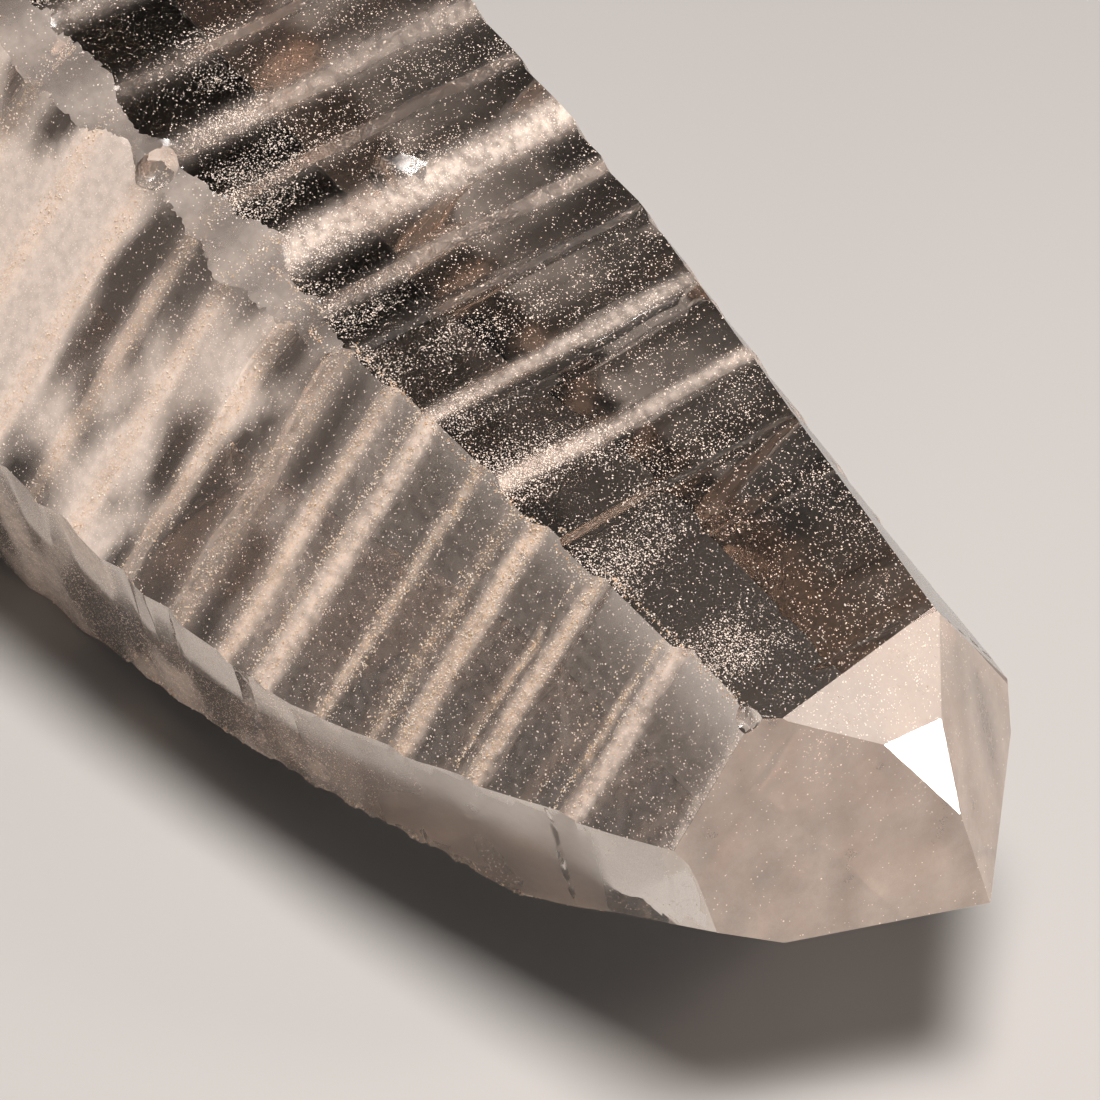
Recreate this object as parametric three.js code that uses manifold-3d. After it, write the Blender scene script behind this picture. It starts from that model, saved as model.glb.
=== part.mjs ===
// A lemurian quartz point, lying on one of its long faces with its tip towards +X and +Z up.
// It is one clear crystal: six long faces that widen towards the broken foot in ledges, and a tip of
// steep facets. Millimetres. The origin is the middle of the bounding box, on the surface it lies on.
import * as THREE from "three";
import { mergeVertices } from "three/addons/utils/BufferGeometryUtils.js";
import Module from "manifold-3d";

const wasm = await Module();
wasm.setup();

// Places along the crystal are given as the distance behind the corner where the three main tip
// facets would meet. Distances of the faces are from the long axis through that corner.
const FRONT_END = -6;
const LENGTH_BEHIND_CORNER = 74;

// A step is the place where a ledge starts, the run that it takes, and how far out it goes.
// Between the ledges a face flares by this much for each millimetre.
const TREAD_FLARE = 0.018;

// Turn is the angle of a face about the long axis, from straight up towards the back.
const TOP = {
  turn: 0,
  start: 2.77,
  ledges: [
    [4.4, 0.5, 0.12],
    [6.6, 0.4, 0.1],
    [10.9, 0.5, 0.12],
    [13.4, 0.3, 0.16],
    [16.5, 0.5, 0.3],
    [20.3, 0.5, 0.3],
    [24.0, 0.3, 0.16],
    [26.2, 0.45, 0.32],
    [28.4, 1.1, 0.6],
    [31.6, 0.4, 0.3],
    [34.2, 0.7, 0.4],
    [37.6, 0.4, 0.24],
    [41.5, 0.5, 0.24],
    [46.8, 0.5, 0.18],
    [52.2, 0.4, 0.14],
    [59.4, 0.6, 0.18],
    [66.0, 0.4, 0.12],
  ],
};
const BACK = {
  turn: 60,
  start: 4.7,
  ledges: [
    [9.6, 0.5, 0.24],
    [11.9, 0.5, 0.3],
    [14.4, 0.5, 0.28],
    [17.0, 0.6, 0.32],
    [19.3, 0.4, 0.22],
    [21.0, 0.6, 0.3],
    [23.4, 0.5, 0.26],
    [26.3, 0.5, 0.2],
    [28.1, 0.5, 0.26],
    [31.2, 0.4, 0.18],
    [34.0, 0.5, 0.2],
    [38.4, 0.4, 0.16],
    [43.9, 0.5, 0.18],
    [50.7, 0.4, 0.16],
    [57.5, 0.5, 0.14],
    [64.1, 0.4, 0.12],
  ],
};
const LOW_BACK = {
  turn: 120,
  start: 8.9,
  flare: 0.034,
  ledges: [
    [16.4, 0.6, 0.26],
    [33.5, 0.6, 0.24],
    [49.8, 0.6, 0.22],
  ],
};
// The bed slopes down to the flat stretch that the crystal lies on, 15.2 from the axis.
const BED = {
  turn: 180,
  start: 12.5,
  flare: 0,
  ledges: [
    [16.0, 5.0, 0.52],
    [21.0, 5.6, 1.22],
    [26.6, 5.1, 0.96],
  ],
};
const LOW_FRONT = {
  turn: 250,
  start: 11.2,
  flare: 0,
  ledges: [
    [7.1, 1.1, 0.43],
    [8.2, 2.8, 1.0],
    [11.0, 2.7, 0.95],
    [13.7, 2.6, 0.88],
    [16.3, 2.7, 0.8],
    [19.0, 2.8, 0.56],
    [21.8, 2.6, 0.36],
    [24.9, 1.2, 0.28],
    [27.2, 1.0, 0.26],
    [30.4, 1.0, 0.28],
    [33.2, 1.0, 0.3],
    [37.0, 1.2, 0.3],
    [43.2, 1.0, 0.3],
    [50.1, 1.0, 0.3],
    [58.8, 1.2, 0.3],
  ],
};
const FRONT = {
  turn: 300,
  start: 7.0,
  ledges: [
    [7.2, 0.5, 0.46],
    [11.3, 0.4, 0.34],
    [14.3, 0.45, 0.36],
    [17.7, 0.25, 0.12],
    [20.2, 0.5, 0.4],
    [22.0, 0.4, 0.34],
    [24.2, 0.6, 0.48],
    [26.8, 0.4, 0.38],
    [29.5, 0.4, 0.36],
    [31.6, 0.4, 0.32],
    [34.3, 0.4, 0.3],
    [37.1, 0.4, 0.24],
    [40.3, 0.4, 0.2],
    [44.6, 0.4, 0.2],
    [49.2, 0.5, 0.2],
    [54.9, 0.4, 0.16],
    [61.7, 0.5, 0.16],
  ],
};
const LONG_FACES = [TOP, BACK, LOW_BACK, BED, LOW_FRONT, FRONT];

// A tip facet is given by its turn, its lean from the long axis and its distance from the corner.
const TIP_FACETS = [
  { turn: 5.2, lean: 52.9, away: 0 },
  { turn: -54.3, lean: 25.7, away: 0 },
  { turn: 55, lean: 45.8, away: 0 },
  { turn: 4.5, lean: 31.6, away: -0.49 },
  { turn: 53.7, lean: 80.7, away: 3.04 },
  { turn: 110.2, lean: 47.2, away: 4.58 },
  { turn: -165.7, lean: 54.9, away: 6.39 },
  { turn: -141.7, lean: 58.7, away: 7.49 },
  { turn: -56.9, lean: 36.5, away: 1.28 },
];

// Low on the front a small facet lies behind the tip. A ledge rises out of it along a line that
// isn't square to the long axis: only what lies beyond both planes is taken away.
const SLANTING_LEDGE = { turn: -110, lean: 68.4, away: 7.794 };
const SMALL_FACET = { turn: -102.1, lean: 81.8, away: 8.98 };

// The foot is broken off across the crystal. Each cut is a plane like a tip facet, facing backwards.
const FOOT_BREAKS = [
  { turn: -35, lean: 170, away: 70 },
  { turn: 60, lean: 155, away: 67.5 },
  { turn: 190, lean: 152, away: 70 },
];

// A chip is a shell-shaped scoop, the cap of an egg, out of the edge between two faces. Long and
// round are the half sizes of the egg along and across the edge, depth is how far it bites, and
// slide moves it across the edge towards the second face.
const RIDGE_CHIPS = [
  { behind: 3.75, long: 0.8, round: 0.9, depth: 0.4, slide: 0.3 },
  { behind: 25.7, long: 6.0, round: 9.0, depth: 0.36, slide: 0.1 },
  { behind: 28.5, long: 9.5, round: 11.0, depth: 0.52, slide: 0.3 },
  { behind: 32.2, long: 9.0, round: 9.0, depth: 0.48, slide: -0.1 },
  { behind: 34.4, long: 0.9, round: 1.3, depth: 0.8, slide: 0.2 },
  { behind: 38.6, long: 18.0, round: 15.0, depth: 0.66, slide: 0.3 },
  { behind: 45.6, long: 14.0, round: 13.0, depth: 0.6, slide: -0.2 },
  { behind: 52.3, long: 15.0, round: 12.0, depth: 0.68, slide: 0.3 },
  { behind: 54.8, long: 1.5, round: 2.0, depth: 0.7, slide: 0.2 },
  { behind: 59.0, long: 12.0, round: 11.0, depth: 0.52, slide: 0 },
  { behind: 66.0, long: 14.0, round: 12.0, depth: 0.78, slide: 0.3 },
];
const BACK_CHIPS = [
  { behind: 50.6, long: 3.4, round: 4.0, depth: 0.24 },
  { behind: 65.5, long: 7.0, round: 6.0, depth: 0.8 },
];
const UNDER_CHIPS = [{ behind: 61.8, long: 7.0, round: 6.0, depth: 0.7 }];
// Small bites one after another make the low front edge rough, with one bigger notch behind them.
// Uneven is the share by which each bite differs in place, length and depth.
const ROUGH_EDGE = {
  from: 12.7,
  to: 20.6,
  count: 10,
  long: 0.55,
  round: 0.6,
  depth: 0.2,
  uneven: { place: 0.15, long: 0.25, depth: 0.4, turn: 2.4 },
};
const LOW_NOTCH = { behind: 28.4, long: 0.9, round: 1.2, depth: 0.36 };
// A shallow pit in the top face, this far across it towards the front.
const TOP_PIT = { behind: 28.9, across: -1.9, long: 2.8, round: 2.2, depth: 0.12 };
// An egg is cut into small flat faces about this wide, within these counts.
const CHIP_FACET = 0.8;
const FEWEST_CUTS = 4;
const MOST_CUTS = 16;
// Hollows like the inside of a shell in the broken foot: place, radius and bite in the break.
const FOOT_HOLLOWS = [
  { y: -7, z: -4, radius: 32, bite: 1.9 },
  { y: 8, z: 2, radius: 22, bite: 1.5 },
  { y: 2, z: -15, radius: 19, bite: 1.4 },
];
const FOOT_PLACE = 69;
const FOOT_CUTS = 9;
const GREY = 0xe6dcd6;

function radians(degrees) {
  return (degrees * Math.PI) / 180;
}

// The unit vector that leans from the long axis towards the given turn.
function direction(turn, lean) {
  const side = Math.sin(radians(lean));
  return new THREE.Vector3(
    Math.cos(radians(lean)),
    side * Math.sin(radians(turn)),
    side * Math.cos(radians(turn)),
  );
}

// The bends of a face as [behind, distance] points, from the front to the foot.
function bendsOf(face) {
  const flare = face.flare ?? TREAD_FLARE;
  const bends = [[FRONT_END, face.start]];
  let behind = 0;
  let distance = face.start;
  for (const [start, run, rise] of face.ledges) {
    distance += flare * Math.max(0, start - Math.max(behind, 0));
    bends.push([start, distance]);
    distance += rise;
    behind = start + run;
    bends.push([behind, distance]);
  }
  bends.push([LENGTH_BEHIND_CORNER, distance + flare * (LENGTH_BEHIND_CORNER - behind)]);
  return bends;
}

function distanceAt(bends, behind) {
  const next = Math.max(1, bends.findIndex(([place]) => place >= behind));
  const [fromPlace, fromDistance] = bends[next - 1];
  const [toPlace, toDistance] = bends[next];
  const share = (behind - fromPlace) / Math.max(toPlace - fromPlace, 1e-9);
  return fromDistance + share * (toDistance - fromDistance);
}

// The corner between two neighbouring faces at one place along the crystal.
function cornerAt(behind, faceA, distanceA, faceB, distanceB) {
  const a = radians(faceA.turn);
  const b = radians(faceB.turn);
  const spread = Math.sin(b - a);
  const y = (distanceB * Math.cos(a) - distanceA * Math.cos(b)) / spread;
  const z = (distanceA * Math.sin(b) - distanceB * Math.sin(a)) / spread;
  return new THREE.Vector3(-behind, y, z);
}

function solidOf(geometry) {
  const bare = geometry.clone();
  bare.deleteAttribute("normal");
  bare.deleteAttribute("uv");
  const merged = mergeVertices(bare, 1e-4);
  return new wasm.Manifold(
    new wasm.Mesh({
      numProp: 3,
      vertProperties: new Float32Array(merged.attributes.position.array),
      triVerts: new Uint32Array(merged.index.array),
    }),
  );
}

function geometryOf(solid) {
  const mesh = solid.getMesh();
  const points = new Float32Array(mesh.numVert * 3);
  for (let i = 0; i < mesh.numVert; i++) {
    const from = i * mesh.numProp;
    points.set(mesh.vertProperties.subarray(from, from + 3), i * 3);
  }
  const geometry = new THREE.BufferGeometry();
  geometry.setAttribute("position", new THREE.BufferAttribute(points, 3));
  geometry.setIndex(new THREE.BufferAttribute(mesh.triVerts, 1));
  return geometry;
}

// The ledged shaft: one six-sided ring of corners at every place where some face bends.
function shaftSolid() {
  const bends = LONG_FACES.map(bendsOf);
  const places = [...new Set(bends.flat().map(([place]) => Number(place.toFixed(3))))];
  places.sort((a, b) => a - b);
  const sides = LONG_FACES.length;
  const points = [];
  for (const place of places) {
    for (let i = 0; i < sides; i++) {
      const j = (i + 1) % sides;
      const near = distanceAt(bends[i], place);
      const far = distanceAt(bends[j], place);
      points.push(...cornerAt(place, LONG_FACES[i], near, LONG_FACES[j], far).toArray());
    }
  }
  const index = [];
  for (let ring = 0; ring < places.length - 1; ring++) {
    for (let i = 0; i < sides; i++) {
      const a = ring * sides + i;
      const b = ring * sides + ((i + 1) % sides);
      index.push(a, b, a + sides, b, b + sides, a + sides);
    }
  }
  const last = (places.length - 1) * sides;
  for (let i = 1; i < sides - 1; i++) {
    index.push(0, i + 1, i);
    index.push(last, last + i, last + i + 1);
  }
  const geometry = new THREE.BufferGeometry();
  geometry.setAttribute("position", new THREE.Float32BufferAttribute(points, 3));
  geometry.setIndex(index);
  return solidOf(geometry);
}

// A big block whose inner side is the plane of a facet, to be taken away from the shaft.
function beyondPlane({ turn, lean, away }) {
  const size = 160;
  const normal = direction(turn, lean);
  const block = new THREE.BoxGeometry(size, size, size);
  block.translate(size / 2 + away, 0, 0);
  const turned = new THREE.Quaternion();
  turned.setFromUnitVectors(new THREE.Vector3(1, 0, 0), normal);
  block.applyQuaternion(turned);
  return solidOf(block);
}

// The egg that cuts a chip or a pit, set over a point of the surface that faces the given turn.
function eggSolid(point, turn, { long, round, depth, slide = 0 }) {
  const outward = direction(turn, 90);
  const across = direction(turn - 90, 90);
  const cuts = Math.ceil(Math.max(long, round) / CHIP_FACET);
  const egg = new THREE.IcosahedronGeometry(1, THREE.MathUtils.clamp(cuts, FEWEST_CUTS, MOST_CUTS));
  egg.scale(long, round, round);
  const middle = point.clone().addScaledVector(outward, round - depth);
  middle.addScaledVector(across, slide);
  egg.translate(middle.x, middle.y, middle.z);
  return solidOf(egg);
}

// The chip out of the edge between two neighbouring faces.
function chipSolid(faceA, faceB, chip) {
  const distanceA = distanceAt(bendsOf(faceA), chip.behind);
  const distanceB = distanceAt(bendsOf(faceB), chip.behind);
  const point = cornerAt(chip.behind, faceA, distanceA, faceB, distanceB);
  const outward = direction(faceA.turn, 90).add(direction(faceB.turn, 90));
  const turn = THREE.MathUtils.radToDeg(Math.atan2(outward.y, outward.z));
  return eggSolid(point, turn, chip);
}

function roughEdgeChips() {
  const { from, to, count, long, round, depth, uneven } = ROUGH_EDGE;
  const chips = [];
  for (let i = 0; i < count; i++) {
    const swing = Math.sin(i * uneven.turn);
    chips.push({
      behind: from + ((to - from) * i) / (count - 1) + uneven.place * swing,
      long: long * (1 + uneven.long * swing),
      round,
      depth: depth * (1 + uneven.depth * swing),
    });
  }
  return chips;
}

// A pit in the middle of a face.
function pitSolid(face, pit) {
  const point = direction(face.turn, 90).multiplyScalar(distanceAt(bendsOf(face), pit.behind));
  point.addScaledVector(direction(face.turn + 90, 90), pit.across);
  point.x = -pit.behind;
  return eggSolid(point, face.turn, pit);
}

function hollowSolid({ y, z, radius, bite }) {
  const ball = new THREE.IcosahedronGeometry(radius, FOOT_CUTS);
  ball.translate(-(FOOT_PLACE + radius - bite), y, z);
  return solidOf(ball);
}

function quartzPoint() {
  let solid = shaftSolid();
  for (const facet of [...TIP_FACETS, ...FOOT_BREAKS]) {
    solid = solid.subtract(beyondPlane(facet));
  }
  solid = solid.subtract(beyondPlane(SLANTING_LEDGE).intersect(beyondPlane(SMALL_FACET)));
  const bites = [
    ...RIDGE_CHIPS.map((chip) => chipSolid(TOP, FRONT, chip)),
    ...BACK_CHIPS.map((chip) => chipSolid(TOP, BACK, chip)),
    ...UNDER_CHIPS.map((chip) => chipSolid(LOW_BACK, BED, chip)),
    ...[LOW_NOTCH, ...roughEdgeChips()].map((chip) => chipSolid(LOW_FRONT, BED, chip)),
    pitSolid(TOP, TOP_PIT),
    ...FOOT_HOLLOWS.map(hollowSolid),
  ];
  for (const bite of bites) {
    solid = solid.subtract(bite);
  }
  const geometry = geometryOf(solid);
  geometry.computeBoundingBox();
  const { min, max } = geometry.boundingBox;
  geometry.translate(-(min.x + max.x) / 2, -(min.y + max.y) / 2, -min.z);
  const clear = new THREE.MeshStandardMaterial({
    color: GREY,
    roughness: 0.08,
    metalness: 0,
    transparent: true,
    opacity: 0.45,
  });
  const mesh = new THREE.Mesh(geometry, clear);
  mesh.name = "quartz_point";
  return mesh;
}

const group = new THREE.Group();
group.add(quartzPoint());
export default group;
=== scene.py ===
"""A lemurian quartz point on a pale floor, in soft studio light. Metres, +Z up, tip towards +X."""
import math
import random

import bpy
import numpy as np
from mathutils import Matrix, Vector, noise
from mathutils.bvhtree import BVHTree


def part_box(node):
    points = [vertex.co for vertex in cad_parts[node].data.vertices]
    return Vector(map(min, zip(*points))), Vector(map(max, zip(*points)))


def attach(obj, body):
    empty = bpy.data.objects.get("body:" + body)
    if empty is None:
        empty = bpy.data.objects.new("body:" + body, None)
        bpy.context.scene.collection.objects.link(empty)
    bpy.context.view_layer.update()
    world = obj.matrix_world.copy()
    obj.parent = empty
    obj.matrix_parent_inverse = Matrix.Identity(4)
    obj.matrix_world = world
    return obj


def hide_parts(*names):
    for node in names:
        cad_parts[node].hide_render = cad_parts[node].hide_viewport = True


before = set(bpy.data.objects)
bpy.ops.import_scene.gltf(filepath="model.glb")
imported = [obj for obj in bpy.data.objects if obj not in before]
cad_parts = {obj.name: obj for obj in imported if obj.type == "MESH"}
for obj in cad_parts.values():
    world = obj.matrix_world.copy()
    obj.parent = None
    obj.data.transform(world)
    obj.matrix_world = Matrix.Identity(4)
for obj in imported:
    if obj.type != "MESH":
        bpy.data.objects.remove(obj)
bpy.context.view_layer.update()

# The camera looks down on the tip from the front right, at the photograph's angle. It aims at
# the middle of the picture, which lies behind the corner where the three main tip facets meet.
crystal_low, crystal_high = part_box("quartz_point")
TIP_BEFORE_CORNER = 0.002520
CORNER_ASIDE, CORNER_HEIGHT = 0.002849, 0.0152
CORNER = Vector((crystal_high[0] - TIP_BEFORE_CORNER, CORNER_ASIDE, CORNER_HEIGHT))
CAMERA_DISTANCE = 0.360
VIEW = Vector((0.4067, -0.5370, 0.7391)).normalized()
PICTURE_DOWN = Vector((0.6346, -0.4159, -0.6514))
CORNER_TO_MIDDLE = Vector((-0.01404, -0.00723, 0.00248))
SENSOR_MM, LENS_MM = 36, 327.3

camera_data = bpy.data.cameras.new("camera")
camera_data.sensor_width = SENSOR_MM
camera_data.lens = LENS_MM
camera_data.clip_start = 0.01
camera_data.clip_end = 20
camera = bpy.data.objects.new("camera", camera_data)
bpy.context.scene.collection.objects.link(camera)
camera_place = CORNER + CAMERA_DISTANCE * VIEW
backward = (camera_place - (CORNER + CORNER_TO_MIDDLE)).normalized()
picture_up = -(PICTURE_DOWN - PICTURE_DOWN.dot(backward) * backward).normalized()
picture_right = picture_up.cross(backward)
camera.matrix_world = Matrix.Translation(camera_place) @ Matrix(
    (picture_right, picture_up, backward)
).transposed().to_4x4()
bpy.context.scene.camera = camera

# The floor is a wide pale sheet of matt card. It lies a hair below the crystal, so that the
# crystal keeps its film of air under the face that it rests on.
FLOOR_HALF = 1.5
FLOOR_GAP = 0.00002
CARD_COLOUR = (0.52, 0.505, 0.49, 1)
CARD_ROUGHNESS = 0.9
bpy.ops.object.select_all(action="DESELECT")
bpy.ops.mesh.primitive_plane_add(size=2 * FLOOR_HALF, location=(0, 0, -FLOOR_GAP))
floor = bpy.context.object
floor.name = "floor"
bpy.ops.object.transform_apply(location=True)
card = bpy.data.materials.new("pale_card")
card.use_nodes = True
card_shader = card.node_tree.nodes["Principled BSDF"]
card_shader.inputs["Base Color"].default_value = CARD_COLOUR
card_shader.inputs["Roughness"].default_value = CARD_ROUGHNESS
floor.data.materials.append(card)

# Soft boxes stand around the crystal. Each is a square panel that faces the crystal, at a
# direction, distance, size, brightness, beam and tint of its own. Cloth grids keep the beams
# narrow. The cool world light between them is faint.
SOFT_BOXES = [
    ("box_overhead", (-0.05, -0.02, 1.0), 0.40, 0.16, 14.0, 52, (1.0, 0.955, 0.925)),
    ("box_back_right", (0.52, 0.62, 0.58), 0.40, 0.09, 4.0, 40, (1.0, 0.84, 0.75)),
    ("box_front_right", (0.75, -0.66, 0.13), 0.40, 0.13, 5.5, 30, (1.0, 0.88, 0.81)),
    ("tip_light", (0.803, 0.595, 0.004), 0.15, 0.030, 14.0, 60, (1.0, 0.97, 0.95)),
]
WORLD_COLOUR = (0.85, 0.93, 1.0, 1)
WORLD_STRENGTH = 0.02
for name, towards, distance, size, radiance, beam, tint in SOFT_BOXES:
    spread = math.radians(beam)
    panel = bpy.data.lights.new(name, "AREA")
    panel.shape = "SQUARE"
    panel.size = size
    panel.spread = spread
    panel.color = tint
    panel.energy = radiance * math.pi * size * size * math.sin(spread / 2) ** 2
    lamp = bpy.data.objects.new(name, panel)
    bpy.context.scene.collection.objects.link(lamp)
    lamp.location = CORNER + distance * Vector(towards).normalized()
    lamp.rotation_euler = Vector(towards).to_track_quat("Z", "Y").to_euler()
    lamp.visible_camera = False

world = bpy.data.worlds.new("studio")
world.use_nodes = True
world.node_tree.nodes["Background"].inputs["Color"].default_value = WORLD_COLOUR
world.node_tree.nodes["Background"].inputs["Strength"].default_value = WORLD_STRENGTH
bpy.context.scene.world = world
bpy.context.scene.view_settings.view_transform = "Standard"
bpy.context.scene.cycles.caustics_refractive = False
bpy.context.scene.cycles.caustics_reflective = False
bpy.context.scene.cycles.max_bounces = 9
bpy.context.scene.cycles.diffuse_bounces = 2
bpy.context.scene.cycles.transmission_bounces = 9
bpy.context.scene.cycles.glossy_bounces = 8
bpy.context.scene.cycles.transparent_max_bounces = 12

# The crystal is one clear quartz point, grown in one piece. It takes the shape of the solid, cut
# lengthwise and crosswise into small faces, so that its ledges can be rounded and can waver.
MM = 0.001
CROSS_CUT = 0.3 * MM
LONG_CUT = 0.9 * MM
SAME_POINT = 2e-6
ON_THE_CUT = 1e-7
FLAT = math.radians(0.4)
cad_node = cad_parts["quartz_point"]
crystal = bpy.data.objects.new("crystal", cad_node.data.copy())
bpy.context.scene.collection.objects.link(crystal)
bpy.ops.object.select_all(action="DESELECT")
crystal.select_set(True)
bpy.context.view_layer.objects.active = crystal
bpy.ops.object.mode_set(mode="EDIT")
bpy.ops.mesh.select_all(action="SELECT")
bpy.ops.mesh.remove_doubles(threshold=SAME_POINT)
bpy.ops.mesh.dissolve_limited(angle_limit=FLAT)
for axis, spacing in enumerate((CROSS_CUT, LONG_CUT, LONG_CUT)):
    square = Vector([float(axis == i) for i in range(3)])
    for cut in range(1, int((crystal_high[axis] - crystal_low[axis]) / spacing)):
        bpy.ops.mesh.select_all(action="SELECT")
        bpy.ops.mesh.bisect(
            plane_co=square * (crystal_low[axis] + cut * spacing),
            plane_no=square,
            threshold=ON_THE_CUT,
        )

# The ledges are rounded: all points but those of the tip, the broken foot and the long corners
# between the faces move towards their neighbours.
ROUND_FROM, ROUND_TO = 4.3 * MM, 66 * MM
LONG_CORNER = math.radians(48)
ROUNDING = 2
bpy.ops.mesh.select_all(action="DESELECT")
bpy.ops.mesh.select_mode(type="EDGE")
bpy.ops.mesh.edges_select_sharp(sharpness=LONG_CORNER)
bpy.ops.object.mode_set(mode="OBJECT")
on_corner = {index for edge in crystal.data.edges if edge.select for index in edge.vertices}
bpy.ops.object.mode_set(mode="EDIT")
bpy.ops.mesh.select_mode(type="VERT")
bpy.ops.mesh.select_all(action="DESELECT")
bpy.ops.object.mode_set(mode="OBJECT")
for point in crystal.data.vertices:
    behind = CORNER.x - point.co.x
    point.select = ROUND_FROM < behind < ROUND_TO and point.index not in on_corner
bpy.ops.object.mode_set(mode="EDIT")
bpy.ops.mesh.vertices_smooth(factor=0.5, repeat=ROUNDING)
bpy.ops.object.mode_set(mode="OBJECT")

# Growth was uneven, so every ledge line sways a little along the crystal, in broad and in fine
# waves. The tip and the foot stay as they are. Then the edges that are still sharp are marked.
SWAY = 0.22 * MM
FINE_SHARE = 0.45
BROAD_ALONG, BROAD_ACROSS = 160, 330
FINE_ALONG, FINE_ACROSS = 400, 1100
STEADY_TIP, STEADY_FOOT = 5.5 * MM, 66 * MM
TIP_FADE, FOOT_FADE = 2 * MM, 3 * MM
SHARP = math.radians(18)


def eased(value, low, high):
    """0 below low, 1 above high, and a smooth rise between them."""
    share = min(1, max(0, (value - low) / (high - low)))
    return share * share * (3 - 2 * share)


for point in crystal.data.vertices:
    behind = CORNER.x - point.co.x
    past_tip = eased(behind, STEADY_TIP, STEADY_TIP + TIP_FADE)
    before_foot = eased(-behind, -STEADY_FOOT, -STEADY_FOOT + FOOT_FADE)
    x, y, z = point.co
    broad = noise.noise(Vector((x * BROAD_ALONG, y * BROAD_ACROSS, z * BROAD_ACROSS)))
    fine = noise.noise(Vector((x * FINE_ALONG, y * FINE_ACROSS, z * FINE_ACROSS)))
    point.co.x += SWAY * (past_tip * before_foot) * (broad + FINE_SHARE * fine)
bpy.ops.object.shade_smooth()
bpy.ops.object.mode_set(mode="EDIT")
bpy.ops.mesh.select_mode(type="EDGE")
bpy.ops.mesh.select_all(action="SELECT")
bpy.ops.mesh.mark_sharp(clear=True)
bpy.ops.mesh.select_all(action="DESELECT")
bpy.ops.mesh.edges_select_sharp(sharpness=SHARP)
bpy.ops.mesh.mark_sharp()
bpy.ops.object.mode_set(mode="OBJECT")

# How matt the surface is: clear treads, frosted ledges, and etched faces on the hidden side. A
# long face is named by its turn in degrees, from straight up towards the back.
TOP, BACK, LOW_BACK, BED, LOW_FRONT, FRONT = 0, 60, 120, 180, 250, 300
CLEAR, SATIN, FROSTED, ETCHED = 0.02, 0.08, 0.34, 0.10
SAME_WAY = 0.93
TIP_LENGTH = 3.5 * MM
LEDGES_BEGIN, LEDGES_FULL = 6 * MM, 7 * MM
TREAD_SLOPE, LEDGE_SLOPE = 0.12, 0.40


def turned(degrees):
    """The outward direction of a long face, by its turn from straight up towards the back."""
    return Vector((0, math.sin(math.radians(degrees)), math.cos(math.radians(degrees))))


frost = crystal.data.attributes.new("frost", "FLOAT", "POINT")
for point in crystal.data.vertices:
    behind = CORNER.x - point.co.x
    value = CLEAR
    if any(point.normal.dot(turned(turn)) > SAME_WAY for turn in (BACK, LOW_BACK, BED)):
        value = ETCHED
    if behind < TIP_LENGTH:
        value = SATIN
    steepness = eased(point.normal.x, TREAD_SLOPE, LEDGE_SLOPE)
    ledge = steepness * eased(behind, LEDGES_BEGIN, LEDGES_FULL)
    frost.data[point.index].value = value + (FROSTED - value) * ledge

# The quartz is clear, with a faint warm smoke in its depth.
QUARTZ_COLOUR = (1.0, 0.985, 0.97, 1)
QUARTZ_IOR = 1.544
SMOKE_COLOUR = (0.90, 0.84, 0.79, 1)
SMOKE_PER_METRE = 60.0
quartz = bpy.data.materials.new("clear_quartz")
quartz.use_nodes = True
nodes = quartz.node_tree.nodes
links = quartz.node_tree.links
shader = nodes["Principled BSDF"]
shader.inputs["Base Color"].default_value = QUARTZ_COLOUR
shader.inputs["Transmission Weight"].default_value = 1.0
shader.inputs["IOR"].default_value = QUARTZ_IOR
frost_value = nodes.new("ShaderNodeAttribute")
frost_value.attribute_name = "frost"
links.new(frost_value.outputs["Fac"], shader.inputs["Roughness"])
smoke = nodes.new("ShaderNodeVolumeAbsorption")
smoke.inputs["Color"].default_value = SMOKE_COLOUR
smoke.inputs["Density"].default_value = SMOKE_PER_METRE
links.new(smoke.outputs["Volume"], nodes["Material Output"].inputs["Volume"])
crystal.data.materials.clear()
crystal.data.materials.append(quartz)
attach(crystal, "root")
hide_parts("quartz_point")

# Frost is a film of the finest quartz dust, grown fast to the faces of the crystal. It is a smooth
# veil in some places and breaks up into specks in others. Each face has a film of its own.
FROST_LIFT = 0.012 * MM
FROST_LEAST = 0.004
FROST_ROUGHNESS, FROST_SHINE = 0.55, 0.3
FINE_PER_METRE, FINE_RADIUS = 22000, 0.68
LARGE_PER_METRE, LARGE_RADIUS = 10000, 0.40
CLOUDS_PER_METRE, CLOUD_DETAIL = 2600, 5.0
THIN_CLOUD, THICK_CLOUD = 0.36, 0.62
THIN_VEIL, THICK_VEIL = 0.55, 1.15
WHITE_FROST = (0.97, 0.85, 0.77, 1)
RUSTY_FROST = (0.80, 0.52, 0.30, 1)

frost_finish = bpy.data.materials.new("frost_film")
frost_finish.use_nodes = True
nodes = frost_finish.node_tree.nodes
links = frost_finish.node_tree.links
shader = nodes["Principled BSDF"]
shader.inputs["Roughness"].default_value = FROST_ROUGHNESS
shader.inputs["Specular IOR Level"].default_value = FROST_SHINE
film = nodes.new("ShaderNodeAttribute")
film.attribute_name = "film"
parts = nodes.new("ShaderNodeSeparateColor")
place = nodes.new("ShaderNodeTexCoord")
links.new(film.outputs["Color"], parts.inputs["Color"])


def math_node(operation, first, second):
    """A Math node. Each input is a number or the output of a node."""
    node = nodes.new("ShaderNodeMath")
    node.operation = operation
    for socket, value in zip(node.inputs, (first, second)):
        if isinstance(value, (int, float)):
            socket.default_value = value
        else:
            links.new(value, socket)
    return node.outputs["Value"]


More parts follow.
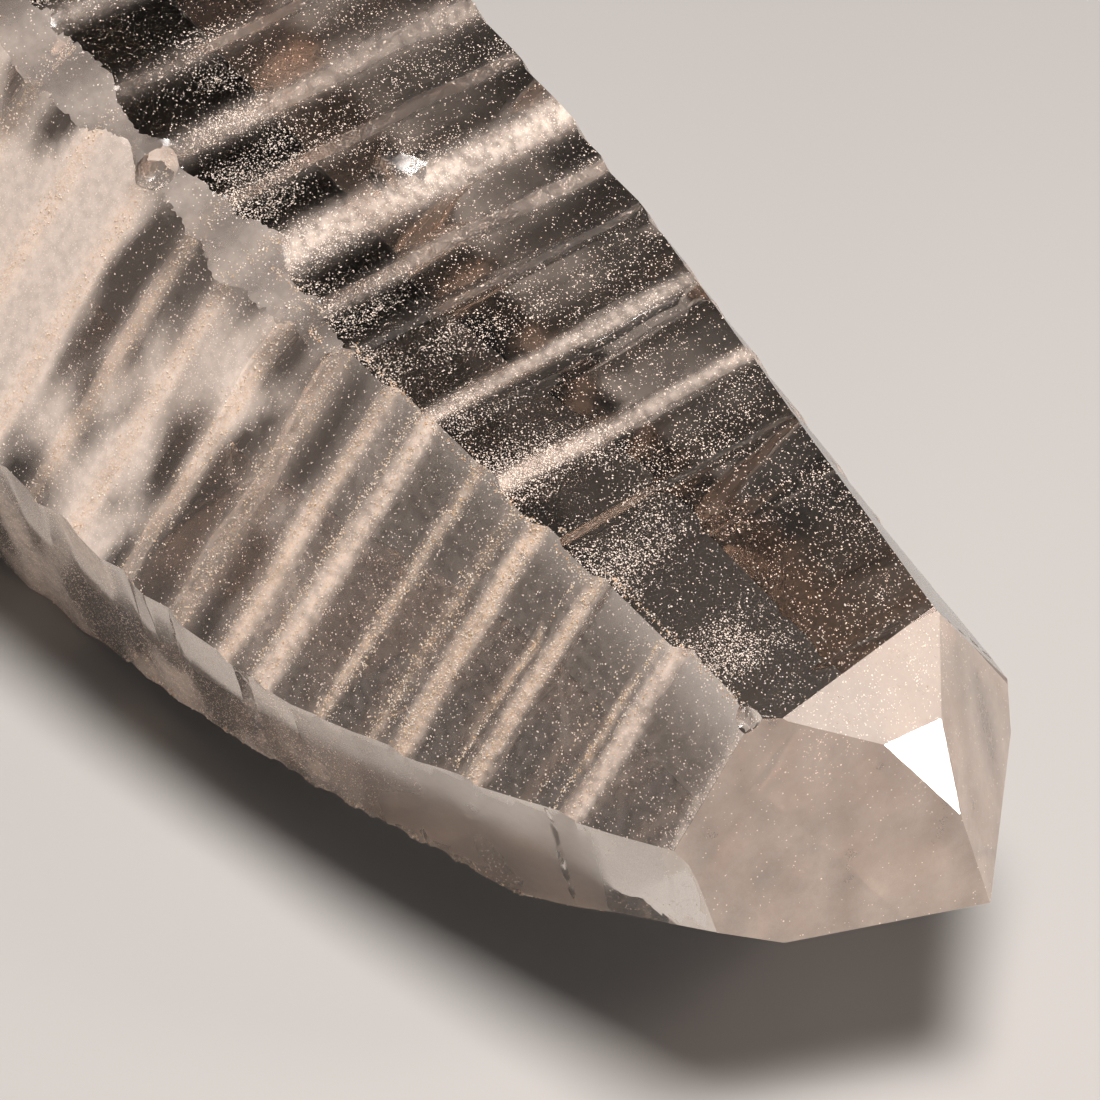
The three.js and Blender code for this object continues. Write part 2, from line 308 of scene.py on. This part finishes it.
def specks(cells_per_metre, speck_radius):
    """Round specks, more of them where the film's speck share is high, and a tone for each."""
    cells = nodes.new("ShaderNodeTexVoronoi")
    cells.inputs["Scale"].default_value = cells_per_metre
    links.new(place.outputs["Object"], cells.inputs["Vector"])
    chance = nodes.new("ShaderNodeSeparateColor")
    links.new(cells.outputs["Color"], chance.inputs["Color"])
    chosen = math_node("LESS_THAN", chance.outputs["Red"], parts.outputs["Green"])
    radius = math_node("MULTIPLY", chance.outputs["Green"], speck_radius)
    inside = math_node("LESS_THAN", cells.outputs["Distance"], radius)
    return math_node("MULTIPLY", chosen, inside), chance.outputs["Blue"]


fine_specks, speck_tone = specks(FINE_PER_METRE, FINE_RADIUS)
large_specks, _ = specks(LARGE_PER_METRE, LARGE_RADIUS)
cloud = nodes.new("ShaderNodeTexNoise")
cloud.inputs["Scale"].default_value = CLOUDS_PER_METRE
cloud.inputs["Detail"].default_value = CLOUD_DETAIL
links.new(place.outputs["Object"], cloud.inputs["Vector"])
uneven = nodes.new("ShaderNodeMapRange")
uneven.inputs["From Min"].default_value = THIN_CLOUD
uneven.inputs["From Max"].default_value = THICK_CLOUD
uneven.inputs["To Min"].default_value = THIN_VEIL
uneven.inputs["To Max"].default_value = THICK_VEIL
links.new(cloud.outputs["Fac"], uneven.inputs["Value"])
change = math_node("SUBTRACT", uneven.outputs["Result"], 1.0)
patches = math_node("MULTIPLY", film.outputs["Alpha"], change)
veil = math_node("MULTIPLY", parts.outputs["Red"], math_node("ADD", patches, 1.0))
dots = math_node("MAXIMUM", fine_specks, large_specks)
see_through = math_node("MAXIMUM", veil, dots)
links.new(math_node("MINIMUM", see_through, 1.0), shader.inputs["Alpha"])
pale = nodes.new("ShaderNodeMix")
pale.data_type = "RGBA"
pale.inputs["A"].default_value = WHITE_FROST
pale.inputs["B"].default_value = RUSTY_FROST
rust = math_node("MULTIPLY", parts.outputs["Blue"], speck_tone)
links.new(rust, pale.inputs["Factor"])
links.new(pale.outputs["Result"], shader.inputs["Base Color"])


def frost_film(name, chosen, cover):
    """A film over the chosen faces. Cover gives its veil, specks, rust and patchiness at a point."""
    piece = bpy.data.objects.new(name, crystal.data.copy())
    bpy.context.scene.collection.objects.link(piece)
    bpy.ops.object.select_all(action="DESELECT")
    piece.select_set(True)
    bpy.context.view_layer.objects.active = piece
    values = [cover(point) for point in piece.data.vertices]
    covering = piece.data.attributes.new("film", "FLOAT_COLOR", "POINT")
    for point, value in zip(piece.data.vertices, values):
        covering.data[point.index].color = value
    bpy.ops.object.mode_set(mode="EDIT")
    bpy.ops.mesh.select_mode(type="FACE")
    bpy.ops.mesh.select_all(action="DESELECT")
    bpy.ops.object.mode_set(mode="OBJECT")
    for face in piece.data.polygons:
        covered = max(max(values[index][:2]) for index in face.vertices) > FROST_LEAST
        face.select = not (covered and chosen(face))
    bpy.ops.object.mode_set(mode="EDIT")
    bpy.ops.mesh.delete(type="FACE")
    bpy.ops.object.mode_set(mode="OBJECT")
    normals = [point.normal.copy() for point in piece.data.vertices]
    for point, normal in zip(piece.data.vertices, normals):
        point.co += FROST_LIFT * normal
    piece.data.attributes.remove(piece.data.attributes["frost"])
    piece.data.materials.clear()
    piece.data.materials.append(frost_finish)
    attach(piece, "root")


def behind_corner(thing_x):
    """How far this x lies behind the corner of the tip, in millimetres."""
    return (CORNER.x - thing_x) / MM


def place_of(point, turn):
    """A point's distance behind the corner and across the long face, in millimetres."""
    across = (point.co - CORNER).dot(turned(turn + 90)) / MM
    return behind_corner(point.co.x), across


def cloudy(behind, across, size, seed):
    """A soft cloud pattern from -1 to 1, drawn out 2.2 times along the ledges."""
    return noise.noise(Vector((behind / size, across / (2.2 * size), seed)))


# The chipped corner between the top and the front counts as a face of its own. Near the tip, a
# face that leans this far forward is a tip facet.
RIDGE = 330
TURNS = (TOP, BACK, LOW_BACK, BED, LOW_FRONT, FRONT, RIDGE)
TIP_BEHIND, TIP_LEAN = 3.9, 0.3
FOOT_BEHIND = 73


def faces_towards(turn, first):
    """Tests whether a face belongs to the long face of this turn, from first mm to the foot."""
    def test(face):
        behind = behind_corner(face.center.x)
        on_tip = behind < TIP_BEHIND and abs(face.normal.x) > TIP_LEAN
        if on_tip or not first < behind < FOOT_BEHIND:
            return False
        outward = Vector((0, face.normal.y, face.normal.z))
        return turn == max(TURNS, key=lambda other: outward.dot(turned(other)))
    return test


# The top face is a dark window with fine dust on it, which lies in drifts and is thickest next
# to the chipped ridge. A soft peach band of frost follows each ledge, and its strength is also a
# painted highlight: the sheen that the ledge reflects. A band is its distance behind the corner,
# its width and its strength, and the one at 28.9 mm is the widest and brightest.
TOP_FROST_AND_SHEEN_BANDS = [
    (16.75, 0.26, 0.62), (20.55, 0.26, 0.60), (24.2, 0.25, 0.06), (26.45, 0.3, 0.28),
    (28.9, 0.6, 0.95), (31.8, 0.3, 0.12), (34.5, 0.5, 0.40), (37.8, 0.4, 0.15),
    (41.7, 0.5, 0.35), (47.0, 0.5, 0.4), (52.4, 0.5, 0.5), (59.7, 0.6, 0.5), (66.2, 0.5, 0.5),
]
TOP_VEIL_MOST, TOP_RUST, TOP_PATCHES = 0.8, 0.35, 1.0
DUST_EVERYWHERE, DUST_IN_DRIFTS, DUST_AT_RIDGE = 0.05, 0.22, 0.4


def top_sheen_and_frost_cover(point):
    """Peach bands of frost and painted sheen on the ledges, with dust between them."""
    behind, across = place_of(point, TOP)
    sway = 0.25 * cloudy(behind, across, size=2.5, seed=4)
    veil = 0.0
    # Each band is frost, and its strength also paints the ledge's sheen as a painted highlight.
    for middle, width, strength in TOP_FROST_AND_SHEEN_BANDS:
        away = (behind + sway - middle) / width
        broken = 0.75 + 0.5 * cloudy(behind, across, size=1.5, seed=9)
        veil += strength * math.exp(-away * away) * broken
    drift = cloudy(behind, across, size=2.6, seed=1) + 0.5 * cloudy(behind, across, size=0.9, seed=2)
    at_ridge = eased(-across, 1.0, 6.5)
    dust = DUST_EVERYWHERE + DUST_IN_DRIFTS * eased(drift, -0.2, 0.6)
    dust += DUST_AT_RIDGE * at_ridge * eased(drift, -0.1, 0.4)
    return min(TOP_VEIL_MOST, max(0, veil)), dust + 0.25 * veil, TOP_RUST, TOP_PATCHES


frost_film("top_sheen_and_frost", faces_towards(TOP, 1.0), top_sheen_and_frost_cover)

# On the front face every ledge carries a bright cream and gold band, and from 19 mm back the
# film thickens to broad milky stripes with clear windows between them. A band is its distance
# behind the corner, its width, its strength and its share of gold.
FRONT_BANDS = [
    (7.45, 0.28, 0.95, 0.2), (8.15, 0.07, 0.5, 0.8), (11.5, 0.25, 0.75, 0.5),
    (12.2, 0.06, 0.5, 1.0), (14.5, 0.30, 0.85, 0.6), (15.6, 0.3, 0.25, 0.6),
    (17.8, 0.22, 0.5, 0.5), (20.4, 0.35, 0.85, 0.3), (22.2, 0.3, 0.8, 0.5),
    (24.5, 0.5, 0.85, 0.3), (27.0, 0.35, 0.8, 0.4), (29.7, 0.4, 0.8, 0.3),
    (31.8, 0.35, 0.7, 0.4), (34.5, 0.4, 0.7, 0.3), (37.3, 0.4, 0.7, 0.3),
    (40.5, 0.4, 0.6, 0.3), (44.8, 0.4, 0.6, 0.3), (49.4, 0.4, 0.6, 0.3),
    (55.1, 0.4, 0.6, 0.3), (61.9, 0.4, 0.6, 0.3),
]
FRONT_VEIL_LEAST, FRONT_VEIL_MOST, FRONT_RUST = 0.13, 0.92, 0.2
MILK_BEGINS, MILK_EVEN, MILK_FULL = 19, 26, 27
WINDOWS_BEGIN = 23
STRIP_BEHIND, STRIP_WIDTH = 3.4, 0.4


def front_cover(point):
    """Cream bands on the ledges, milky stripes further back, and a strip beside the tip."""
    behind, across = place_of(point, FRONT)
    sway = 0.2 * cloudy(behind, across, size=2.0, seed=14)
    veil, rust = FRONT_VEIL_LEAST, FRONT_RUST
    for middle, width, strength, gold in FRONT_BANDS:
        away = (behind + sway - middle) / width
        near = math.exp(-away * away)
        veil += strength * near * (0.85 + 0.4 * cloudy(behind, across, size=1.0, seed=9))
        rust += gold * near
    drift = cloudy(behind, across, size=5.5, seed=21) + 0.5 * cloudy(behind, across, size=1.3, seed=22)
    milk = eased(drift, -0.12, 0.35)
    if behind > WINDOWS_BEGIN:
        veil = veil * (0.45 + 0.55 * milk)
    veil += 0.7 * milk * eased(behind, MILK_BEGINS, MILK_FULL)
    strip = math.exp(-((behind - STRIP_BEHIND) / STRIP_WIDTH) ** 2)
    speck_share = 0.04 + 0.2 * veil + 0.4 * strip
    patchiness = 0.8 - 0.5 * eased(behind, MILK_BEGINS, MILK_EVEN)
    return min(FRONT_VEIL_MOST, max(0, veil + 0.35 * strip)), speck_share, min(1, rust), patchiness


frost_film("front_frost", faces_towards(FRONT, 1.5), front_cover)

# The low front face has a thin even veil near the tip, which grows milky from 12 mm back. It is
# the same quartz dust, with few specks.
LOW_RUST, LOW_PATCHES = 0.35, 0.5


def low_cover(point):
    """A thin veil that turns to milk towards the foot."""
    behind, across = place_of(point, LOW_FRONT)
    drift = cloudy(behind, across, size=3.5, seed=31) + 0.5 * cloudy(behind, across, size=1.2, seed=32)
    veil = 0.10 + 0.5 * eased(drift, -0.3, 0.5) * eased(behind, 12, 24)
    return veil, 0.04 + 0.15 * eased(behind, 14, 22), LOW_RUST, LOW_PATCHES


frost_film("low_front_frost", faces_towards(LOW_FRONT, 2.0), low_cover)

# The two faces at the back are etched and have frost on their ledges alone, where the dust could
# hold. Both are covered in the same way.
BACK_RUST, BACK_PATCHES = 0.3, 1.0


def back_cover(point):
    """A broken veil on the ledges, and nothing on the treads between them."""
    behind, across = place_of(point, BACK)
    ledge = eased(point.normal.x, 0.10, 0.35)
    veil = ledge * (0.4 + 0.3 * cloudy(behind, across, size=1.5, seed=61))
    return veil, 0.15 * ledge, BACK_RUST, BACK_PATCHES


frost_film("back_frost", faces_towards(BACK, 4.0), back_cover)
frost_film("low_back_frost", faces_towards(LOW_BACK, 4.0), back_cover)

# The tip facets carry a thin even haze, with a few specks near the top. The small bright facet
# above the tip has no film. It mirrors the light like clean glass.
MIRROR_FACET = Vector((0.852, 0.041, 0.522))
SAME_FACET = 0.99
FORWARD = 0.12
TIP_RUST, TIP_PATCHES = 0.2, 0.12


def on_tip_facet(face):
    """Whether a face is part of the tip, but not of its mirror facet."""
    near = CORNER.x - face.center.x < TIP_BEHIND * MM
    return near and face.normal.x > FORWARD and face.normal.dot(MIRROR_FACET) < SAME_FACET


def tip_cover(point):
    """An even haze, with specks high on the tip."""
    drift = cloudy(point.co.y / MM, point.co.z / MM, size=1.2, seed=41)
    high = eased((point.co.z - CORNER.z) / MM, -3.5, 1.0)
    speck_share = 0.01 + 0.10 * high * eased(drift, -0.3, 0.5)
    return 0.36 + 0.14 * drift, speck_share, TIP_RUST, TIP_PATCHES


frost_film("tip_frost", on_tip_facet, tip_cover)

# The chipped ridge between the top and the front is frosted by its rough break. Its veil is
# cloudy and has hardly any specks.
CHIP_SPECKS, CHIP_RUST, CHIP_PATCHES = 0.04, 0.15, 0.3


def chip_cover(point):
    """A cloudy veil over the shells of the ridge."""
    drift = cloudy(behind_corner(point.co.x), point.co.y / MM, size=1.8, seed=51)
    return 0.30 + 0.25 * drift, CHIP_SPECKS, CHIP_RUST, CHIP_PATCHES


frost_film("ridge_frost", faces_towards(RIDGE, 2.5), chip_cover)

# Specks of frost: tiny grains of quartz and rusty dust that sit on the faces. All the grains of
# one face are one piece. Each grain is a small eight-sided lump, turned and stretched at random.
GRAIN_POINTS = np.array(
    [(1, 0, 0), (0, 1, 0), (-1, 0, 0), (0, -1, 0), (0, 0, 0.8), (0, 0, -0.8)], dtype=float
)
GRAIN_FACES = np.array(
    [(0, 1, 4), (1, 2, 4), (2, 3, 4), (3, 0, 4), (1, 0, 5), (2, 1, 5), (3, 2, 5), (0, 3, 5)]
)
LEAST_STRETCH, MOST_STRETCH = 0.55, 1.25
GRAIN_SEAT = 0.15
GRAIN_ROUGHNESS = 0.4
MOTTLES_PER_METRE = 9000
DARK_MOTTLE, LIGHT_MOTTLE = 0.34, 0.64
WELL_OUTSIDE = 0.03
FACE_LEAN = 0.7
GRAIN_SEED = 11
surface = BVHTree.FromPolygons(
    [point.co for point in crystal.data.vertices],
    [list(face.vertices) for face in crystal.data.polygons],
)


def struck(turn, behind, across):
    """Where a line down onto a long face meets the crystal: the point and its normal."""
    outward = turned(turn)
    start = CORNER + Vector((-behind, 0, 0)) + across * turned(turn + 90) + WELL_OUTSIDE * outward
    point, normal, _, _ = surface.ray_cast(start, -outward)
    return (point, normal) if point is not None else None


def on_face(turn, behind, across):
    """The point of a long face at this place, or nothing where the crystal turns away."""
    found = struck(turn, behind, across)
    if found is None or found[1].dot(turned(turn)) < FACE_LEAN:
        return None
    return found


def grain_size(size_range):
    """A random size in metres, from a range in millimetres, with more small grains than large."""
    return random.triangular(size_range[0], size_range[1], size_range[0]) * MM


def grains(name, seats, tones):
    """One mesh of grains. A seat is a point, a normal and a size."""
    picker = np.random.default_rng(len(seats))
    count = len(seats)
    points = np.array([seat[0] for seat in seats])
    normals = np.array([seat[1] for seat in seats])
    sizes = np.array([seat[2] for seat in seats])
    stretch = picker.uniform(LEAST_STRETCH, MOST_STRETCH, (count, 1, 3))
    turns = np.linalg.qr(picker.normal(size=(count, 3, 3)))[0]
    lumps = (GRAIN_POINTS[None] * stretch) @ turns * sizes[:, None, None] / 2
    lumps += (points + normals * sizes[:, None] * GRAIN_SEAT)[:, None]
    faces = GRAIN_FACES[None] + len(GRAIN_POINTS) * np.arange(count)[:, None, None]
    mesh = bpy.data.meshes.new(name)
    mesh.from_pydata(lumps.reshape(-1, 3).tolist(), [], faces.reshape(-1, 3).tolist())
    mesh.update()
    piece = bpy.data.objects.new(name, mesh)
    bpy.context.scene.collection.objects.link(piece)
    bpy.ops.object.select_all(action="DESELECT")
    piece.select_set(True)
    bpy.context.view_layer.objects.active = piece
    bpy.ops.object.mode_set(mode="EDIT")
    bpy.ops.mesh.select_all(action="SELECT")
    bpy.ops.mesh.normals_make_consistent(inside=False)
    bpy.ops.object.mode_set(mode="OBJECT")
    material = bpy.data.materials.new(name + "_finish")
    material.use_nodes = True
    nodes = material.node_tree.nodes
    links = material.node_tree.links
    place = nodes.new("ShaderNodeTexCoord")
    mottle = nodes.new("ShaderNodeTexNoise")
    mottle.inputs["Scale"].default_value = MOTTLES_PER_METRE
    mottle.inputs["Detail"].default_value = 1.0
    ramp = nodes.new("ShaderNodeValToRGB")
    ramp.color_ramp.elements[0].position = DARK_MOTTLE
    ramp.color_ramp.elements[0].color = (*tones[0], 1)
    ramp.color_ramp.elements[1].position = LIGHT_MOTTLE
    ramp.color_ramp.elements[1].color = (*tones[1], 1)
    links.new(place.outputs["Object"], mottle.inputs["Vector"])
    links.new(mottle.outputs["Fac"], ramp.inputs["Fac"])
    links.new(ramp.outputs["Color"], nodes["Principled BSDF"].inputs["Base Color"])
    nodes["Principled BSDF"].inputs["Roughness"].default_value = GRAIN_ROUGHNESS
    piece.data.materials.append(material)
    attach(piece, "root")


def speckle(turn, behind_range, across_range, count, size_range, clump, keep):
    """Seats spread over a stretch of a face, gathered in clumps by a cloud pattern."""
    seats = []
    tries = 0
    while len(seats) < count and tries < 20 * count:
        tries += 1
        behind = random.uniform(*behind_range)
        across = random.uniform(*across_range)
        cloud = noise.noise(Vector((behind, across, turn)) / clump)
        if random.random() > keep(behind, across, cloud):
            continue
        found = on_face(turn, behind * MM, across * MM)
        if found:
            seats.append((*found, grain_size(size_range)))
    return seats


def band(turn, behind, spread, across_range, count, size_range):
    """Seats along a growth ledge, thick in its middle and thin at its sides."""
    seats = []
    for _ in range(count):
        across = random.uniform(*across_range)
        sway = 0.12 * noise.noise(Vector((behind, across * 0.9, 3.0)))
        found = on_face(turn, (random.gauss(behind, spread) + sway) * MM, across * MM)
        if found:
            seats.append((*found, grain_size(size_range)))
    return seats


# The dust of the top face is fine and white. It lies in drifts and along the ledges, with larger
# rusty dots near the tip. All places and sizes are in millimetres.
DUSTY_LEDGES = (16.7, 20.5, 24.1, 26.4, 28.9, 34.5)
DUST_TONES = ((0.62, 0.45, 0.33), (0.95, 0.92, 0.90))
MOST_DOTS_BEFORE = 7.5
random.seed(GRAIN_SEED)
top_seats = speckle(
    TOP, (1.5, 72), (-14, 14), count=9000, size_range=(0.018, 0.045), clump=3.2,
    keep=lambda behind, across, cloud: 0.12 + 1.3 * max(0, cloud - 0.02),
)
top_seats += speckle(
    TOP, (1.5, 14), (-8, 8), count=700, size_range=(0.05, 0.11), clump=2.0,
    keep=lambda behind, across, cloud: 0.9 if behind < MOST_DOTS_BEFORE else 0.25,
)
for behind in DUSTY_LEDGES:
    top_seats += band(TOP, behind, 0.22, (-12, 12), count=900, size_range=(0.02, 0.05))
grains("top_dust", top_seats, DUST_TONES)

# Gold and white grains lie on and just behind each ledge of the front face, with a few between
# them. A ledge is its distance behind the corner, the grains' spread in mm and half their count.
FRONT_LEDGES = (
    (7.6, 0.10, 260), (8.15, 0.07, 420), (8.9, 0.12, 160), (11.5, 0.12, 950), (12.2, 0.06, 260),
    (14.5, 0.15, 1300), (15.6, 0.28, 800), (17.8, 0.22, 900), (20.4, 0.14, 500), (20.9, 0.1, 500),
    (22.3, 0.14, 600), (24.5, 0.2, 700), (27.0, 0.2, 600), (29.7, 0.2, 600), (31.8, 0.2, 500),
    (34.5, 0.2, 500), (37.3, 0.2, 500), (40.5, 0.2, 400), (44.8, 0.2, 400), (49.4, 0.2, 400),
    (55.1, 0.2, 400), (61.9, 0.2, 400),
)
GOLD_TONES = ((0.70, 0.48, 0.27), (0.95, 0.88, 0.80))
front_seats = []
for behind, spread, half_count in FRONT_LEDGES:
    front_seats += band(
        FRONT, behind, spread, (-14, 14), count=2 * half_count, size_range=(0.045, 0.12)
    )
front_seats += speckle(
    FRONT, (3.0, 40), (-12, 12), count=2500, size_range=(0.02, 0.05), clump=2.0,
    keep=lambda behind, across, cloud: 0.15 + max(0, cloud),
)
grains("front_grains", front_seats, GOLD_TONES)

# Rusty and white granules cling to two rough corners: the ridge between the top and the front,
# and the low edge under the front. They sit where the corner stands out most.
LOW_EDGE = 215
REACH = 14
REACH_STEPS = 20
RUSTY_TONES = ((0.62, 0.36, 0.18), (0.95, 0.88, 0.80))


def on_corner_line(turn, behind, reach):
    """The point that stands out most towards this turn, within a reach across the crystal."""
    best = None
    for step in range(-REACH_STEPS, REACH_STEPS + 1):
        found = struck(turn, behind, reach * step / REACH_STEPS)
        if found and (best is None or found[0].dot(turned(turn)) > best[0].dot(turned(turn))):
            best = found
    return best


def corner_seats(turn, first, last, count, size_range, spread):
    """Seats on both sides of a corner, from first to last mm, gathered in clumps."""
    seats = []
    for _ in range(count):
        behind = random.uniform(first, last)
        if noise.noise(Vector((behind * 1.3, turn, 5.0))) < random.uniform(-0.5, 0.3):
            continue
        found = on_corner_line(turn, behind * MM, REACH * MM)
        if found is None:
            continue
        aside = random.gauss(0, spread) * MM
        near = struck(turn, behind * MM, (found[0] - CORNER).dot(turned(turn + 90)) + aside)
        if near:
            seats.append((*near, grain_size(size_range)))
    return seats


corner_grain_seats = corner_seats(
    RIDGE, 4.2, 30, count=1500, size_range=(0.04, 0.14), spread=0.10
)
corner_grain_seats += corner_seats(
    LOW_EDGE, 8, 34, count=1100, size_range=(0.05, 0.16), spread=0.16
)
grains("corner_grains", corner_grain_seats, RUSTY_TONES)
